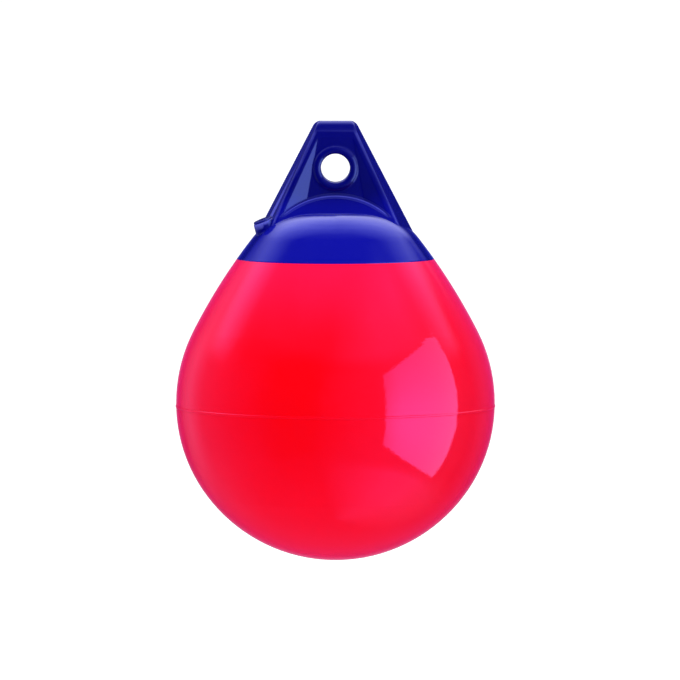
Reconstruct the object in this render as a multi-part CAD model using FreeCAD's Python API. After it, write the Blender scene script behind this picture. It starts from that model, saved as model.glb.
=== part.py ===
import FreeCAD, Part
import math
import os

# Inflatable ball buoy, millimetres. +Z is up and the origin is the centre of the rope eye.
# The hull is turned about Z, and the flat of the rope eye lies in the XZ plane.

# Hull
ball_radius = 140.0
equator_z = -206.7
lower_depth = 138.0  # from the equator to the lowest point
lower_side_radius = 136.0  # side of the lower half, which a slightly flatter dish closes
hull_wall = 2.5
neck_start_angle = math.radians(27.0)  # where the ball hands over to the neck
neck_radius = 514.0
parting_z = -209.0
parting_width = 2.0
parting_rise = 0.4
neck_step_turn = math.radians(1.0)  # run of the inner skin's step behind the joint

# Moulded end: a domed cap that grips the hull's recessed neck
joint_z = -79.8  # colour line, where cap and hull meet flush
cap_wall = 5.0
cap_skirt = 15.0  # how far below the skin the cap's blank starts, before the hull's neck is taken out
crown_z = -39.4
shoulder_radius = 58.0

# Rope eye: a tapered plate with a flanged pocket in each face
eye_hole_radius = 12.7
eye_hole_length = 80.0  # long enough to pass both faces
plate_top_z = 41.2
plate_root_z = -66.0
plate_top_half_width = 17.5
plate_side_slope = 0.520  # growth of half-width per mm down
plate_side_draft = 0.364  # narrowing per mm out from the middle plane
plate_corner_radius = 9.0
plate_corner_overrun = 0.4  # the corner arcs aim this far above the top, to meet its round at an angle
plate_edge_radius = 3.2
web_half_thickness = 12.0
wedge_slope = 0.18  # growth of half-thickness per mm down
pocket_top_z = 27.0
pocket_top_half_width = 15.2
pocket_floor_slope = 0.1775
pocket_wall_flare = 1.577  # sideways run of the pocket's side walls per mm of depth
pocket_overrun = 5.0  # how far the cutting tool passes the face at the root
pocket_foot_radius = 70.0
pocket_foot_crest_z = -23.4
pocket_foot_draft = 0.15
pocket_foot_rounding = 1.5
pocket_foot_proud = 0.03  # the rounding stands this far proud, so that it cuts the face cleanly
collar_crown_offset = 3.3  # crest of the collar's rounded crown, outside the eye's edge
collar_crown_radius = 3.6
collar_crown_sink = 0.6  # depth of the crown's centre below the web
collar_foot_radius = 2.2  # fillet that blends the crown into the web
collar_set_in = 0.03  # the profile runs this far past the web and the eye, to meet both at an angle

# Inflation valve on the shoulder
valve_centre = FreeCAD.Vector(-63.4, -15.0, -46.1)
valve_tilt = math.radians(22.0)  # lean from the vertical
valve_bearing = math.radians(13.0)  # turn from -X towards -Y
boss_radius = 8.8
boss_length = 26.0
boss_draft = 0.13
boss_bevel = 0.7
flange_radius = 8.3
flange_thickness = 1.6
flange_bevel = 0.4
barrel_radius = 6.6
barrel_length = 24.0
screw_seat_radius = 5.2
screw_seat_depth = 2.6  # recess that takes the washer and the screw's head
screw_head_radius = 4.2
screw_shank_radius = 3.0
screw_shank_length = 12.0
screw_slot_width = 1.2
screw_slot_depth = 0.9
washer_radius = 5.0
washer_thickness = 0.8

origin = FreeCAD.Vector(0, 0, 0)
up = FreeCAD.Vector(0, 0, 1)
across = FreeCAD.Vector(0, 1, 0)


def rz(r, z):
    """Point of a turned profile at radius r and height z."""
    return FreeCAD.Vector(r, 0, z)


# Centres and hand-over angles of the arcs that make the turned outline. A skin lying `inset`
# inside the outer one uses the same centres with smaller radii.
neck_centre = rz((ball_radius - neck_radius) * math.cos(neck_start_angle),
                 equator_z + (ball_radius - neck_radius) * math.sin(neck_start_angle))
shoulder_centre_z = crown_z - shoulder_radius
centre_gap = neck_radius - shoulder_radius
shoulder_centre = rz(neck_centre.x + math.sqrt(centre_gap ** 2 - (shoulder_centre_z - neck_centre.z) ** 2),
                     shoulder_centre_z)
neck_end_angle = math.atan2(shoulder_centre.z - neck_centre.z, shoulder_centre.x - neck_centre.x)
joint_angle = math.asin((joint_z - neck_centre.z) / neck_radius)
lower_side_centre = rz(ball_radius - lower_side_radius, equator_z)
dish_slack = lower_depth - lower_side_radius
dish_rise = (lower_side_centre.x ** 2 - dish_slack ** 2) / (2 * dish_slack)
dish_centre = rz(0, equator_z + dish_rise)
dish_angle = -math.atan2(dish_rise, lower_side_centre.x)


def on_arc(centre, radius, angle):
    return centre + rz(radius * math.cos(angle), radius * math.sin(angle))


def arc(centre, radius, start, end):
    middle = (start + end) / 2
    return Part.Arc(on_arc(centre, radius, start), on_arc(centre, radius, middle),
                    on_arc(centre, radius, end)).toShape()


def line(a, b):
    return Part.LineSegment(a, b).toShape()


def ball_edges(inset):
    """Lowest point to the start of the neck."""
    dish = arc(dish_centre, lower_depth + dish_rise - inset, -math.pi / 2, dish_angle)
    side = arc(lower_side_centre, lower_side_radius - inset, dish_angle, 0)
    upper = arc(rz(0, equator_z), ball_radius - inset, 0, neck_start_angle)
    return [dish, side, upper]


def parting_ridge():
    """Narrow raised band with bevelled edges where the two halves of the mould meet."""
    def corner(rise, half):
        return rz(ball_radius + rise, parting_z + half)

    half = parting_width / 2
    inside = -2 * parting_rise
    outline = [corner(inside, -half), corner(0, -half), corner(parting_rise, parting_rise - half),
               corner(parting_rise, half - parting_rise), corner(0, half), corner(inside, half)]
    return Part.Face(Part.makePolygon(outline + outline[:1])).revolve(origin, up, 360)


def neck_edge(inset, start, end):
    return arc(neck_centre, neck_radius - inset, start, end)


def crown_edges(inset):
    """Top of the neck to the axis."""
    radius = shoulder_radius - inset
    top = rz(shoulder_centre.x, crown_z - inset)
    return [arc(shoulder_centre, radius, neck_end_angle, math.pi / 2), line(top, rz(0, top.z))]


def turned(edges):
    """Solid of revolution of a profile that starts and ends on the axis."""
    wire = Part.Wire(Part.__sortEdges__(edges))
    ends = [v.Point for v in wire.OrderedVertexes]
    closed = Part.Wire([wire, line(ends[-1], ends[0])])
    return Part.Face(closed).revolve(origin, up, 360)


def skin(inset_below, inset_above, step_angle, step_run=0.0):
    """Solid inside one skin of the hull, which steps inwards at the neck."""
    step_end = step_angle + step_run
    edges = ball_edges(inset_below)
    edges.append(neck_edge(inset_below, neck_start_angle, step_angle))
    edges.append(line(on_arc(neck_centre, neck_radius - inset_below, step_angle),
                      on_arc(neck_centre, neck_radius - inset_above, step_end)))
    edges.append(neck_edge(inset_above, step_end, neck_end_angle))
    edges += crown_edges(inset_above)
    return turned(edges)


wedge_tilt = math.atan(wedge_slope)
face_normal = FreeCAD.Vector(0, -math.cos(wedge_tilt), math.sin(wedge_tilt))
face_down = FreeCAD.Vector(0, -math.sin(wedge_tilt), -math.cos(wedge_tilt))


def half_width(z):
    return plate_top_half_width + plate_side_slope * (plate_top_z - z)


def half_thickness(z):
    return web_half_thickness + wedge_slope * (pocket_top_z - z)


def plate_outline(y):
    """Outline of the eye plate at y: straight drafted sides, rounded corners and a straight top."""
    lean = math.atan(plate_side_slope)
    inset = plate_side_draft * abs(y)
    crest_z = plate_top_z + plate_corner_overrun
    half_turn = (math.pi / 2 - lean) / 2  # half the turn from a side to the top
    run = plate_corner_radius * math.tan(half_turn)
    crest_x = half_width(crest_z) - inset
    points = [(half_width(plate_root_z) - inset, plate_root_z),
              (crest_x + run * math.sin(lean), crest_z - run * math.cos(lean)),
              (crest_x - run + plate_corner_radius * math.sin(half_turn),
               crest_z - plate_corner_radius * (1 - math.cos(half_turn))),
              (crest_x - run, crest_z)]
    root, low, middle, high = [FreeCAD.Vector(x, y, z) for x, z in points]
    left_root, left_low, left_middle, left_high = [FreeCAD.Vector(-x, y, z) for x, z in points]
    return Part.Wire([line(root, low), Part.Arc(low, middle, high).toShape(), line(high, left_high),
                      Part.Arc(left_high, left_middle, left_low).toShape(), line(left_low, left_root),
                      line(left_root, root)])


def wedge_half():
    """Everything between the middle plane and the front face, which a full round joins at the top."""
    face_distance = half_thickness(0) * math.cos(wedge_tilt)
    radius = (face_distance - math.sin(wedge_tilt) * plate_top_z) / (1 - math.sin(wedge_tilt))
    centre_z = plate_top_z - radius

    def on_round(angle):
        return FreeCAD.Vector(-half_width(plate_root_z), -radius * math.cos(angle),
                              centre_z + radius * math.sin(angle))

    top = on_round(math.pi / 2)
    middle_root = FreeCAD.Vector(top.x, 0, plate_root_z)
    face_root = FreeCAD.Vector(top.x, -half_thickness(plate_root_z), plate_root_z)
    face_top = on_round(wedge_tilt)
    crest = Part.Arc(face_top, on_round((wedge_tilt + math.pi / 2) / 2), top).toShape()
    profile = Part.Wire([line(middle_root, face_root), line(face_root, face_top), crest,
                         line(top, middle_root)])
    return Part.Face(profile).extrude(FreeCAD.Vector(-2 * top.x, 0, 0))


def is_rim(edge):
    """True for an edge that climbs the plate between its face and its side."""
    box = edge.BoundBox
    return box.ZLength > 1 and box.YLength > 1


def pocket_foot():
    """Arched foot of the front pocket, turned about an axis square to the face."""
    crest = FreeCAD.Vector(0, -half_thickness(pocket_foot_crest_z), pocket_foot_crest_z)
    centre = crest + face_down * pocket_foot_radius
    deep = half_thickness(plate_root_z)

    def at(r, h):
        return centre + face_down * r + face_normal * (h + pocket_foot_proud)

    shoulder = pocket_foot_radius - pocket_foot_rounding
    middle = pocket_foot_rounding * math.sqrt(0.5)
    rounding = Part.Arc(at(pocket_foot_radius, -pocket_foot_rounding),
                        at(shoulder + middle, middle - pocket_foot_rounding), at(shoulder, 0)).toShape()
    floor_radius = pocket_foot_radius + pocket_foot_draft * (deep - pocket_foot_rounding)
    profile = Part.Wire([line(at(0, -deep), at(floor_radius, -deep)),
                         line(at(floor_radius, -deep), at(pocket_foot_radius, -pocket_foot_rounding)), rounding,
                         line(at(shoulder, 0), at(shoulder, deep)), line(at(shoulder, deep), at(0, deep)),
                         line(at(0, deep), at(0, -deep))])
    return Part.Face(profile).revolve(centre, face_normal, 360)


def pocket_section(depth):
    """Outline of the front pocket at a depth measured outwards from the web."""
    top = pocket_top_half_width + pocket_wall_flare * depth
    low = top + pocket_floor_slope * (pocket_top_z - plate_root_z)
    corners = [(-low, plate_root_z), (low, plate_root_z), (top, pocket_top_z), (-top, pocket_top_z)]
    points = [FreeCAD.Vector(x, -web_half_thickness - depth, z) for x, z in corners]
    return Part.makePolygon(points + points[:1])


def plate_half():
    """Front half of the plate, with its pocket."""
    sides = Part.makeLoft([plate_outline(0), plate_outline(-half_thickness(plate_root_z))], True, True)
    half = sides.common(wedge_half())
    half = half.makeFillet(plate_edge_radius, [e for e in half.Edges if is_rim(e)])
    deep = half_thickness(plate_root_z) + pocket_overrun - web_half_thickness
    pocket = Part.makeLoft([pocket_section(0), pocket_section(deep)], True, True)
    return half.cut(pocket.cut(pocket_foot()))


def collar():
    """Turned collar round the eye: a rounded crown on each face, which a fillet blends into the web."""
    crown_r = eye_hole_radius + collar_crown_offset
    span = collar_crown_radius + collar_foot_radius
    foot_h = collar_foot_radius - collar_set_in
    foot_r = crown_r + math.sqrt(span ** 2 - (foot_h + collar_crown_sink) ** 2)
    join_angle = math.acos((foot_r - crown_r) / span)
    inner_angle = math.pi - math.acos((collar_crown_offset + collar_set_in) / collar_crown_radius)

    def at(side, r, h):
        return FreeCAD.Vector(r, side * (web_half_thickness + h), 0)

    def on_crown(side, angle):
        return at(side, crown_r + collar_crown_radius * math.cos(angle),
                  collar_crown_radius * math.sin(angle) - collar_crown_sink)

    def on_foot(side, angle):
        return at(side, foot_r - collar_foot_radius * math.cos(angle),
                  foot_h - collar_foot_radius * math.sin(angle))

    edges = [line(on_foot(-1, math.pi / 2), on_foot(1, math.pi / 2)),
             line(on_crown(-1, inner_angle), on_crown(1, inner_angle))]
    for side in (-1, 1):
        edges.append(Part.Arc(on_foot(side, math.pi / 2), on_foot(side, (join_angle + math.pi / 2) / 2),
                              on_foot(side, join_angle)).toShape())
        edges.append(Part.Arc(on_crown(side, join_angle), on_crown(side, (join_angle + inner_angle) / 2),
                              on_crown(side, inner_angle)).toShape())
    profile = Part.Wire(Part.__sortEdges__(edges))
    return Part.Face(profile).revolve(origin, across, 360)


def eye_plate():
    half = plate_half()
    plate = half.fuse(half.mirror(origin, across)).removeSplitter()
    hole = Part.makeCylinder(eye_hole_radius, eye_hole_length, FreeCAD.Vector(0, -eye_hole_length / 2, 0), across)
    return plate.fuse(collar()).cut(hole)


valve_axis = FreeCAD.Vector(-math.sin(valve_tilt) * math.cos(valve_bearing),
                            -math.sin(valve_tilt) * math.sin(valve_bearing),
                            math.cos(valve_tilt))


def along_valve(radius, start, end):
    """Cylinder on the valve's axis between two heights measured from the boss's face."""
    return Part.makeCylinder(radius, end - start, valve_centre + valve_axis * start, valve_axis)


def farthest_circle(solid):
    """Round edge of a solid that lies furthest out along the valve's axis."""
    return max(solid.Edges, key=lambda e: (e.CenterOfMass.dot(valve_axis), e.Length))


def make_boss():
    cone = Part.makeCone(boss_radius + boss_draft * boss_length, boss_radius, boss_length,
                         valve_centre - valve_axis * boss_length, valve_axis)
    return cone.makeChamfer(boss_bevel, [farthest_circle(cone)])


def make_hull():
    outer = skin(0, cap_wall, joint_angle)
    inner = skin(hull_wall, cap_wall + hull_wall, joint_angle - neck_step_turn, neck_step_turn)
    valve_hole = along_valve(barrel_radius, -barrel_length, 0)
    return outer.fuse(parting_ridge()).cut(inner).cut(valve_hole)


def cap_dome():
    """Solid under the cap's outer skin, down to a cone well inside the hull's neck."""
    foot = on_arc(neck_centre, neck_radius, joint_angle)
    skirt = on_arc(neck_centre, neck_radius - cap_skirt, joint_angle)
    edges = [neck_edge(0, joint_angle, neck_end_angle)] + crown_edges(0)
    return turned(edges + [line(foot, skirt), line(skirt, rz(0, skirt.z))])


def make_rope_hold():
    end = cap_dome().fuse(eye_plate()).fuse(make_boss())
    barrel = along_valve(barrel_radius, -boss_length, 0)
    return end.cut(skin(0, cap_wall, joint_angle)).cut(barrel).removeSplitter()


def make_valve_body():
    flange = along_valve(flange_radius, 0, flange_thickness)
    flange = flange.makeChamfer(flange_bevel, [farthest_circle(flange)])
    barrel = along_valve(barrel_radius, -barrel_length, 0)
    seat = along_valve(screw_seat_radius, flange_thickness - screw_seat_depth, flange_thickness)
    bore = along_valve(screw_shank_radius, -barrel_length, flange_thickness)
    return flange.fuse(barrel).cut(seat).cut(bore)


washer_base = flange_thickness - screw_seat_depth
head_base = washer_base + washer_thickness


def make_valve_washer():
    washer = along_valve(washer_radius, washer_base, head_base)
    return washer.cut(along_valve(screw_shank_radius, washer_base, head_base))


def make_valve_screw():
    """Slotted screw whose head ends flush with the flange."""
    head = along_valve(screw_head_radius, head_base, flange_thickness)
    shank = along_valve(screw_shank_radius, head_base - screw_shank_length, head_base)
    slot = Part.makeBox(screw_slot_width, 2 * screw_head_radius, screw_slot_depth,
                        FreeCAD.Vector(-screw_slot_width / 2, -screw_head_radius, -screw_slot_depth))
    face = FreeCAD.Placement(valve_centre + valve_axis * flange_thickness, FreeCAD.Rotation(up, valve_axis))
    slot.Placement = face.multiply(slot.Placement)
    return head.fuse(shank).cut(slot)


def main():
    os.makedirs("parts", exist_ok=True)
    pieces = {
        "hull": make_hull(),
        "rope_hold": make_rope_hold(),
        "valve_body": make_valve_body(),
        "valve_washer": make_valve_washer(),
        "valve_screw": make_valve_screw(),
    }
    for name, shape in pieces.items():
        solids = shape.Solids
        print(name, "valid" if shape.isValid() else "NOT VALID", len(solids), "solid(s)",
              round(shape.Volume / 1000, 1), "cm3", len(shape.Faces), "faces")
        shape.exportStep("parts/" + name + ".step")


main()
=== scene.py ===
import bpy
import math
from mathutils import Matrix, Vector


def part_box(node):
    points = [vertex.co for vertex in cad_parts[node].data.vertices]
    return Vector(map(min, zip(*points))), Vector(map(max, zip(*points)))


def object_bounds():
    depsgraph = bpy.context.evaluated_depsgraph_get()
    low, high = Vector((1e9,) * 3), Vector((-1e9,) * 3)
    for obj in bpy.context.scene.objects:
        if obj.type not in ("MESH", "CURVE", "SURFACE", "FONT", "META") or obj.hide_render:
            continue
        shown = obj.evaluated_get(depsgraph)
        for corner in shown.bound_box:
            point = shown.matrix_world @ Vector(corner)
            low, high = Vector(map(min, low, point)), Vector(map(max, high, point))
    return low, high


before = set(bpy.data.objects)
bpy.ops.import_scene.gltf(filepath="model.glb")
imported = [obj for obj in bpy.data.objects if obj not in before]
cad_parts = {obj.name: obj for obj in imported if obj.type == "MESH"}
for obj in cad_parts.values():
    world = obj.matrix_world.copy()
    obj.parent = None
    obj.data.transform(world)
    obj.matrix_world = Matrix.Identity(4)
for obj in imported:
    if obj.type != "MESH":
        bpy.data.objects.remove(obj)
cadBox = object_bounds()
lowest, highest = Vector(cadBox[0]), Vector(cadBox[1])
middle = (lowest + highest) / 2
ballDepth = 0.138   # from the ball's centre down to its lowest point, metres
ballCentre = Vector((0, 0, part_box("hull")[0][2] + ballDepth))
print("frame loaded:", len(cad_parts), "CAD nodes")


cameraView = {
    "aimShift": (0.004, 0.0, 0.0005),   # from the middle of the buoy
    "distance": 5.5,
    "elevation": 3.8,   # degrees above the horizon
    "frameWidth": 0.5968,   # metres across the frame at the aim point
    "sensorWidth": 36.0,   # millimetres
    "reach": 200.0,   # metres, past the far edge of the floor
}


def makeCamera(view):
    data = bpy.data.cameras.new("camera")
    data.sensor_width = view["sensorWidth"]
    data.lens = view["sensorWidth"] * view["distance"] / view["frameWidth"]
    data.clip_end = view["reach"]
    camera = bpy.data.objects.new("camera", data)
    bpy.context.collection.objects.link(camera)
    tilt = math.radians(view["elevation"])
    aim = middle + Vector(view["aimShift"])
    camera.location = aim + Vector((0, -math.cos(tilt), math.sin(tilt))) * view["distance"]
    camera.rotation_euler = (aim - camera.location).to_track_quat("-Z", "Y").to_euler()
    bpy.context.scene.camera = camera


makeCamera(cameraView)
bpy.context.scene.view_settings.view_transform = "Standard"
print("camera placed")


def newMaterial(name):
    material = bpy.data.materials.new(name)
    material.use_nodes = True
    tree = material.node_tree
    tree.nodes.clear()
    return material, tree


def addNode(tree, kind, inputs=None, **settings):
    node = tree.nodes.new("ShaderNode" + kind)
    for key, value in settings.items():
        setattr(node, key, value)
    for key, value in (inputs or {}).items():
        if isinstance(value, bpy.types.NodeSocket):
            tree.links.new(value, node.inputs[key])
        else:
            node.inputs[key].default_value = value
    return node


def rgba(colour):
    return (*colour, 1.0)


worldLight = {
    "seen": 1.0,   # how white the air itself looks
    "lighting": 0.8,   # what it throws on the buoy
}

floorSet = {
    "gap": 0.255,   # from the lowest point of the hanging buoy
    "halfSize": 60.0,
    "colour": (0.93, 0.93, 0.93),
    "roughness": 0.9,
    "specular": 0.2,
    "lift": 0.4,   # what the camera sees of it beyond its own shade, up to plain white
}

lamps = {
    "topLamp": {"place": (0.0, -0.3, 2.6), "size": 3.0, "power": 70.0},
    "frontLamp": {"place": (0.6, -5.0, 0.6), "size": 3.0, "power": 60.0},
}


def seenDirectly(tree):   # 1 for what the camera, a mirror or glass shows, 0 for light on the object
    path = addNode(tree, "LightPath")
    direct = addNode(tree, "Math", {0: path.outputs["Is Camera Ray"], 1: path.outputs["Is Glossy Ray"]},
                     operation="MAXIMUM")
    return addNode(tree, "Math", {0: direct.outputs[0], 1: path.outputs["Is Transmission Ray"]},
                   operation="MAXIMUM").outputs[0]


def makeWorld(light):
    world = bpy.data.worlds.new("studioAir")
    world.use_nodes = True
    bpy.context.scene.world = world
    tree = world.node_tree
    tree.nodes.clear()
    strength = addNode(tree, "MapRange", {"Value": seenDirectly(tree), "To Min": light["lighting"],
                                          "To Max": light["seen"]})
    air = addNode(tree, "Background", {"Color": rgba((1, 1, 1)), "Strength": strength.outputs["Result"]})
    addNode(tree, "OutputWorld", {"Surface": air.outputs[0]})


def makeFloor(s):
    z = lowest.z - s["gap"]
    h = s["halfSize"]
    mesh = bpy.data.meshes.new("floor")
    mesh.from_pydata([(-h, -h, z), (h, -h, z), (h, h, z), (-h, h, z)], [], [(0, 1, 2, 3)])
    floor = bpy.data.objects.new("floor", mesh)
    bpy.context.collection.objects.link(floor)
    material, tree = newMaterial("floorPaper")
    paper = addNode(tree, "BsdfPrincipled", {"Base Color": rgba(s["colour"]),
                                             "Roughness": s["roughness"],
                                             "Specular IOR Level": s["specular"]})
    lift = addNode(tree, "Math", {0: seenDirectly(tree), 1: s["lift"]}, operation="MULTIPLY")
    white = addNode(tree, "Emission", {"Color": rgba((1, 1, 1)), "Strength": lift.outputs[0]})
    sheet = addNode(tree, "AddShader", {0: paper.outputs[0], 1: white.outputs[0]})
    addNode(tree, "OutputMaterial", {"Surface": sheet.outputs[0]})
    mesh.materials.append(material)
    floor.visible_glossy = False   # the cards below it are what the gloss shows


def makeLamp(name, s):
    data = bpy.data.lights.new(name, "AREA")
    data.size = s["size"]
    data.energy = s["power"]
    lamp = bpy.data.objects.new(name, data)
    bpy.context.collection.objects.link(lamp)
    lamp.location = s["place"]
    lamp.rotation_euler = (ballCentre - lamp.location).to_track_quat("-Z", "Y").to_euler()
    lamp.visible_glossy = False


def glowMaterial(name, colour):
    material, tree = newMaterial(name)
    glow = addNode(tree, "Attribute", attribute_name="glow")
    lit = addNode(tree, "Emission", {"Color": rgba(colour), "Strength": glow.outputs["Fac"]})
    addNode(tree, "OutputMaterial", {"Surface": lit.outputs[0]})
    return material


def between(stops, x):   # value at x on a line drawn through (x, value) stops
    for (x0, v0), (x1, v1) in zip(stops, stops[1:]):
        if x0 <= x <= x1:
            return v0 + (v1 - v0) * (x - x0) / (x1 - x0)
    return stops[0][1] if x < stops[0][0] else stops[-1][1]


# A card that only the gloss shows. It has a glow of its own at each point, and its points come row by row.
def finishCard(name, points, columns, glows, colour=(1, 1, 1)):
    rows = len(points) // (columns + 1) - 1
    faces = []
    for j in range(rows):
        for i in range(columns):
            a = j * (columns + 1) + i
            faces.append((a, a + 1, a + columns + 2, a + columns + 1))
    mesh = bpy.data.meshes.new(name)
    mesh.from_pydata([tuple(p) for p in points], [], faces)
    layer = mesh.attributes.new("glow", "FLOAT", "POINT")
    layer.data.foreach_set("value", glows)
    mesh.materials.append(glowMaterial(name, colour))
    card = bpy.data.objects.new(name, mesh)
    bpy.context.collection.objects.link(card)
    card.visible_camera = False
    card.visible_diffuse = False
    card.visible_transmission = False
    card.visible_shadow = False


def aimed(bearing, elevation, distance):   # bearing 0 is towards the camera and grows to its right
    b, e = math.radians(bearing), math.radians(elevation)
    return ballCentre + Vector((math.sin(b) * math.cos(e), -math.cos(b) * math.cos(e),
                                math.sin(e))) * distance


# The studio as the gloss shows it, where white paper is 1. Each patch is laid over the ones before
# it and has four bearings and four elevations: where it starts, is full, stops being full and ends.
studioWalls = {
    "distance": 9.0,
    "step": 3.0,   # degrees between the dome's points
    "plain": ((-90, 0.09), (-65, 0.085), (-40, 0.045), (-15, 0.015),
              (30, 0.015), (45, 0.09), (65, 0.08), (90, 0.08)),   # elevation and glow, before the patches
    "patches": {
        "floorRight": ((-15, 52, 82, 140), (-105, -58, -45, -33), 0.4),
        "leftWall": ((-155, -130, -105, -45), (-60, -35, 10, 40), 0.135),
        "leftTop": ((-150, -130, -105, -80), (10, 24, 38, 60), 0.16),
        "rightWall": ((-14, 45, 90, 122), (-45, -33, 38, 50), 0.19),
        "upperRight": ((-5, 45, 75, 100), (28, 38, 50, 62), 0.33),
        "frontGap": ((-62, -42, -27, -8), (-38, -30, 27, 40), 0.01),
        "backPanelLeft": ((-400, -390, -150, -92), (17, 27, 45, 92), 1.7),
        "backPanelRight": ((92, 155, 390, 400), (17, 27, 45, 92), 1.55),
        "sideGapLeft": ((-162, -148, -128, -112), (-30, -12, 28, 42), 0.3),
        "sideGapRight": ((112, 124, 138, 150), (-30, -12, 26, 36), 0.05),
        "backGapLeft": ((-400, -390, -150, -132), (-30, -12, 24, 36), 0.01),
        "backGapRight": ((134, 150, 390, 400), (-30, -12, 20, 30), 0.01),
        "horizonLeft": ((-400, -390, -180, -160), (-30, -10, 0, 12), 0.45),
        "horizonRight": ((160, 180, 390, 400), (-30, -10, 0, 12), 0.45),
    },
}

softbox = {
    "offset": 3.0,   # to the right of the ball's centre
    "reach": (-1.37, 0.12),   # front and back ends, as shares of the offset
    "height": (-0.8, 0.68),
    "colour": (0.8, 1.0, 0.85),
    "upward": ((0.0, 1.5), (0.3, 1.8), (0.5, 1.8), (0.75, 1.4), (1.0, 1.1)),   # glow from bottom to top
    "backward": ((0.0, 0.62), (0.3, 0.95), (0.5, 1.0), (1.0, 1.0)),   # its share from front to back
    "rows": 12,
    "columns": 10,
}


def share(span, x):   # 0 outside a patch, 1 in its full part
    start, full, stop, end = span
    return max(0.0, min(1.0, (x - start) / (full - start), (end - x) / (end - stop)))


def wallGlow(s, bearing, elevation):
    glow = between(s["plain"], elevation)
    for bearings, elevations, strength in s["patches"].values():
        cover = share(bearings, bearing) * share(elevations, elevation)
        glow += (strength - glow) * cover
    return glow


def makeWalls(s):
    step = s["step"]
    columns, rows = round(360 / step), round(180 / step)
    spots = [(i * step - 180, j * step - 90) for j in range(rows + 1) for i in range(columns + 1)]
    finishCard("studioWalls", [aimed(b, e, s["distance"]) for b, e in spots], columns,
               [wallGlow(s, b, e) for b, e in spots])


def makeSoftbox(s):
    x, rows, columns = s["offset"], s["rows"], s["columns"]
    (front, back), (bottom, top) = s["reach"], s["height"]
    points, glows = [], []
    for j in range(rows + 1):
        for i in range(columns + 1):
            along, up = i / columns, j / rows
            corner = Vector((1, front + (back - front) * along, bottom + (top - bottom) * up))
            points.append(ballCentre + corner * x)
            glows.append(between(s["upward"], up) * between(s["backward"], along))
    finishCard("softboxFace", points, columns, glows, s["colour"])


makeWorld(worldLight)
makeFloor(floorSet)
for lampName, lampSet in lamps.items():
    makeLamp(lampName, lampSet)
makeWalls(studioWalls)
makeSoftbox(softbox)
print("studio lit")


hullVinyl = {
    "colour": (0.93, 0.0001, 0.0006),
    "worn": (0.90, 0.0004, 0.0030),
    "paintedLight": (0.93, 0.0040, 0.0450),   # painted light: a paler pink on the ball's upper part, as lit from above, up to the moulded end
    "paintedLightHeights": (-0.150, -0.070),   # heights over which the painted light sets in, metres
    "ior": 1.8,
    "specular": 1.0,
    "tint": (1.0, 0.15, 1.0),   # colour of the gloss where it is faced squarely
    "roughness": (0.05, 0.085),
    "sheen": 0.5,   # soft bloom of the vinyl's skin where it is seen at a slant
    "sheenTint": (1.0, 0.055, 0.45),
    "sheenRoughness": 0.42,
    "peel": 0.00004,   # depth of the fine ripple in the skin, metres
    "edge": (0.53, 0.62),   # how sharp a crest must be to take its painted highlight and rubbed roughness a little, and fully
    "edgeAbove": -0.5,   # heights between which crests take the painted highlight and rubbed roughness, metres
    "edgeBelow": 0.1,
    "crestClearRadius": 0.0,   # no painted crest highlight or rubbed roughness this close to the eye's centre, metres
    # painted highlight: a paler pink along the sharp crests
    "crestHighlightColour": (0.90, 0.004, 0.03),
    "edgeRoughness": 0.3,
    "soften": 0.0,   # rounding given to the edges by the light on them, metres
}

endVinyl = {
    "colour": (0.0003, 0.0004, 0.155),
    "worn": (0.0010, 0.0015, 0.14),
    # painted light: paler blue on the shoulder below the plate, as lit from above; the plate's web above
    # keeps the darker colour
    "paintedLight": (0.0020, 0.0025, 0.30),
    "paintedLightHeights": (-0.016, -0.040),
    "ior": 1.8,
    "specular": 1.0,
    "tint": (0.22, 0.25, 1.0),
    "roughness": (0.05, 0.08),
    "sheen": 0.5,
    "sheenTint": (0.03, 0.04, 1.0),
    "sheenRoughness": 0.3,
    "peel": 0.00004,
    "edge": (0.50, 0.56),
    "edgeAbove": -0.050,
    "edgeBelow": 0.030,
    "crestClearRadius": 0.026,   # the collar takes no painted crest highlight
    # painted highlight: pale blue lines along the plate's rims and other sharp crests
    "crestHighlightColour": (0.10, 0.11, 0.62),
    "edgeRoughness": 0.25,
    "soften": 0.002,
}

shoulderLinesAndPaintedBands = {   # what only the moulded end has: a matt line along the arch's lip, and a painted dark reflection band on each end of the shoulder
    "archCentre": -0.0934,   # height of the arch's centre, metres
    "archRadius": 0.0695,
    "archWidth": 0.0025,   # of the matt line on each side of the lip
    "archAbove": -0.036,   # the line runs out below this height
    "archRoughness": 0.9,
    "flankSlope": 0.42,   # front-to-back over side-to-side, where the shoulder's painted light ends and the painted dark reflection band begins
    "flankBlend": 0.004,
}

valveNylon = {
    **endVinyl,
    "colour": (0.001, 0.0015, 0.17),
    "worn": (0.002, 0.003, 0.15),
    # painted light: paler blue by height, over the moulded end's heights
    "paintedLight": (0.004, 0.006, 0.22),
    "roughness": (0.07, 0.12),
    "sheen": 0.0,
    # the valve's sharp crests take the moulded end's painted highlight colour
    "edge": (0.60, 0.75),
    "edgeAbove": -0.5,
    "crestClearRadius": 0.0,
    "soften": 0.0008,
}

valveRubber = {
    "colour": (0.008, 0.008, 0.009),
    "worn": (0.02, 0.02, 0.021),
    # painted light: a little paler by height
    "paintedLight": (0.012, 0.012, 0.013),
    "paintedLightHeights": (-0.060, -0.030),
    "ior": 1.5,
    "specular": 0.4,
    "tint": (1.0, 1.0, 1.0),
    "roughness": (0.45, 0.65),
    "sheen": 0.0,
    "sheenTint": (1.0, 1.0, 1.0),
    "sheenRoughness": 0.5,
    "peel": 0.00002,
    "edge": (0.55, 0.65),
    "edgeAbove": -0.5,
    "edgeBelow": 0.1,
    "crestClearRadius": 0.0,
    # painted highlight: a paler grey along the sharp crests
    "crestHighlightColour": (0.05, 0.05, 0.05),
    "edgeRoughness": 0.6,
    "soften": 0.0002,
}

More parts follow.
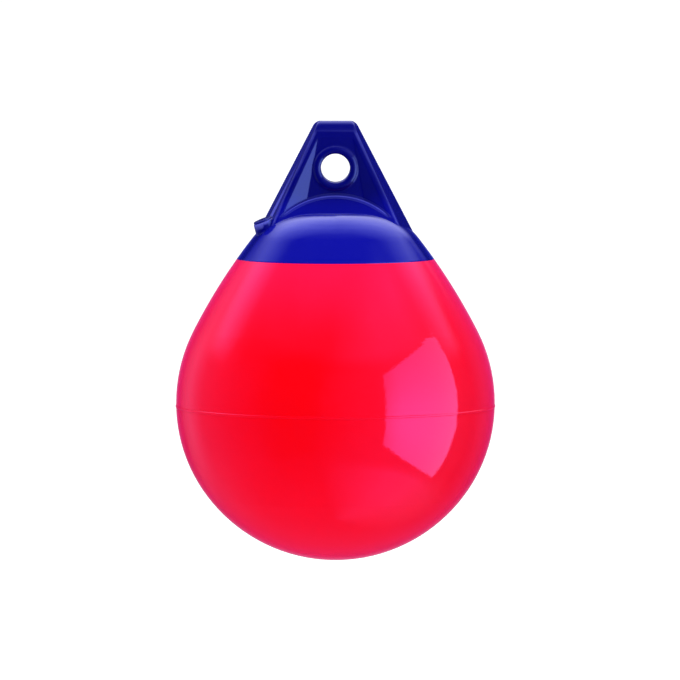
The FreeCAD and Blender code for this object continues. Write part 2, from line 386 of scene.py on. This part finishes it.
skinPatterns = {   # noise on every moulded skin, and the part of its range that is used
    "clouds": {"Scale": 14.0, "Detail": 4.0, "Roughness": 0.6},   # from fresh to worn colour
    "cloudRange": (0.35, 0.75),
    "handling": {"Scale": 45.0, "Detail": 6.0, "Roughness": 0.7},   # from smooth to rough
    "handlingRange": (0.3, 0.8),
    "ripple": {"Scale": 260.0, "Detail": 2.0, "Roughness": 0.5},   # the fine bump
    "eyeBlend": 0.004,   # how softly each limit of the painted crest highlight and rubbed roughness, and of the arch's line, sets in, metres
    "rimBlend": 0.010,
    "archBlend": 0.008,
    "roundingSamples": 8,
}


def ramp(tree, value, start, end):   # 0 at the start, 1 at the end
    return addNode(tree, "MapRange", {"Value": value, "From Min": start, "From Max": end}).outputs["Result"]


def both(tree, first, second):   # 1 only where the two of them are
    return addNode(tree, "Math", {0: first, 1: second}, operation="MULTIPLY").outputs[0]


def crestHighlightAndWear(tree, s, place, height):   # 0 on open surfaces, rising to 1 on the sharp crests: there the colour takes a painted highlight and the roughness rises as rubbed wear
    crest = addNode(tree, "NewGeometry").outputs["Pointiness"]
    reach = addNode(tree, "VectorMath", {0: place}, operation="LENGTH").outputs["Value"]
    clearOfEye = ramp(tree, reach, s["crestClearRadius"], s["crestClearRadius"] + skinPatterns["eyeBlend"])
    clearOfRim = ramp(tree, height, s["edgeAbove"] - skinPatterns["rimBlend"], s["edgeAbove"])
    clearOfTop = ramp(tree, height, s["edgeBelow"] + skinPatterns["eyeBlend"], s["edgeBelow"])
    clear = both(tree, both(tree, clearOfEye, clearOfRim), clearOfTop)
    return both(tree, ramp(tree, crest, *s["edge"]), clear)


def rubbedArch(tree, s, place, height):   # 1 along the lip of the arched foot
    flat = addNode(tree, "VectorMath", {0: place, 1: (1, 0, 1)}, operation="MULTIPLY").outputs["Vector"]
    span = addNode(tree, "VectorMath", {0: flat, 1: (0, 0, s["archCentre"])}, operation="DISTANCE")
    off = addNode(tree, "Math", {0: span.outputs["Value"], 1: s["archRadius"]}, operation="SUBTRACT")
    away = addNode(tree, "Math", {0: off.outputs[0]}, operation="ABSOLUTE").outputs[0]
    return both(tree, ramp(tree, away, s["archWidth"], s["archWidth"] / 2),
                ramp(tree, height, s["archAbove"] - skinPatterns["archBlend"], s["archAbove"]))


def outsidePaintedDarkBands(tree, s, place):   # 0 on the two ends of the shoulder, 1 over its front and back; the painted light is kept off the ends, which leaves a painted dark reflection band there
    quarter = addNode(tree, "VectorMath", {0: place}, operation="ABSOLUTE").outputs["Vector"]
    parts = addNode(tree, "SeparateXYZ", {"Vector": quarter})
    line = addNode(tree, "Math", {0: parts.outputs["X"], 1: s["flankSlope"]}, operation="MULTIPLY")
    past = addNode(tree, "Math", {0: parts.outputs["Y"], 1: line.outputs[0]}, operation="SUBTRACT")
    return ramp(tree, past.outputs[0], -s["flankBlend"], s["flankBlend"])


def mixed(tree, factor, first, second):
    return addNode(tree, "MixRGB", {"Fac": factor, "Color1": first, "Color2": second}).outputs["Color"]


def noise(tree, place, pattern):
    return addNode(tree, "TexNoise", {"Vector": place, **skinPatterns[pattern]}).outputs["Fac"]


def skinColour(tree, s, place, height, edges):
    # painted light: how much of the paler, lit-from-above colour each height takes
    paintedLightShare = addNode(tree, "MapRange", {"Value": height, "From Min": s["paintedLightHeights"][0], "From Max": s["paintedLightHeights"][1]},
                  interpolation_type="SMOOTHSTEP").outputs["Result"]
    # the shoulder's two ends keep the darker colour: a painted dark reflection band
    if "flankSlope" in s:
        paintedLightShare = both(tree, paintedLightShare, outsidePaintedDarkBands(tree, s, place))
    cloudy = ramp(tree, noise(tree, place, "clouds"), *skinPatterns["cloudRange"])
    handled = mixed(tree, cloudy, rgba(s["colour"]), rgba(s["worn"]))
    # the painted light mixed into the colour
    paintedLight = mixed(tree, paintedLightShare, handled, rgba(s["paintedLight"]))
    # painted highlight along the sharp crests
    return mixed(tree, edges, paintedLight, rgba(s["crestHighlightColour"]))


def skinRoughness(tree, s, place, height, edges):
    low, high = skinPatterns["handlingRange"]
    smooth = addNode(tree, "MapRange", {"Value": noise(tree, place, "handling"), "From Min": low,
                                        "From Max": high, "To Min": s["roughness"][0],
                                        "To Max": s["roughness"][1]})
    rough = addNode(tree, "MapRange", {"Value": edges, "To Min": smooth.outputs["Result"],
                                       "To Max": s["edgeRoughness"]})
    if "archRadius" in s:
        rough = addNode(tree, "MapRange", {"Value": rubbedArch(tree, s, place, height),
                                           "To Min": rough.outputs["Result"], "To Max": s["archRoughness"]})
    return rough.outputs["Result"]


def skinBump(tree, s, place):
    bump = addNode(tree, "Bump", {"Height": noise(tree, place, "ripple"), "Distance": s["peel"],
                                  "Strength": 1.0})
    if s["soften"]:
        rounded = addNode(tree, "Bevel", {"Radius": s["soften"]}, samples=skinPatterns["roundingSamples"])
        tree.links.new(rounded.outputs["Normal"], bump.inputs["Normal"])
    return bump.outputs["Normal"]


def mouldedSkin(name, s):
    material, tree = newMaterial(name)
    place = addNode(tree, "TexCoord").outputs["Object"]
    height = addNode(tree, "SeparateXYZ", {"Vector": place}).outputs["Z"]
    edges = crestHighlightAndWear(tree, s, place, height)
    skin = addNode(tree, "BsdfPrincipled", {"Base Color": skinColour(tree, s, place, height, edges),
                                            "Roughness": skinRoughness(tree, s, place, height, edges),
                                            "IOR": s["ior"],
                                            "Specular IOR Level": s["specular"],
                                            "Specular Tint": rgba(s["tint"]),
                                            "Sheen Weight": s["sheen"],
                                            "Sheen Tint": rgba(s["sheenTint"]),
                                            "Sheen Roughness": s["sheenRoughness"],
                                            "Normal": skinBump(tree, s, place)})
    addNode(tree, "OutputMaterial", {"Surface": skin.outputs[0]})
    return material


finishes = {
    "hull": mouldedSkin("hullVinyl", hullVinyl),
    "rope_hold": mouldedSkin("endVinyl", {**endVinyl, **shoulderLinesAndPaintedBands}),
    "valve_body": mouldedSkin("valveNylon", valveNylon),
    "valve_washer": mouldedSkin("valveRubber", valveRubber),
    "valve_screw": mouldedSkin("screwNylon", valveNylon),
}


def dressNodes():
    for name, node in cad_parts.items():
        node.data.materials.clear()
        node.data.materials.append(finishes[name])
    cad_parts["rope_hold"].visible_glossy = False   # the ball's gloss stays clear of it


dressNodes()
print("finishes given")
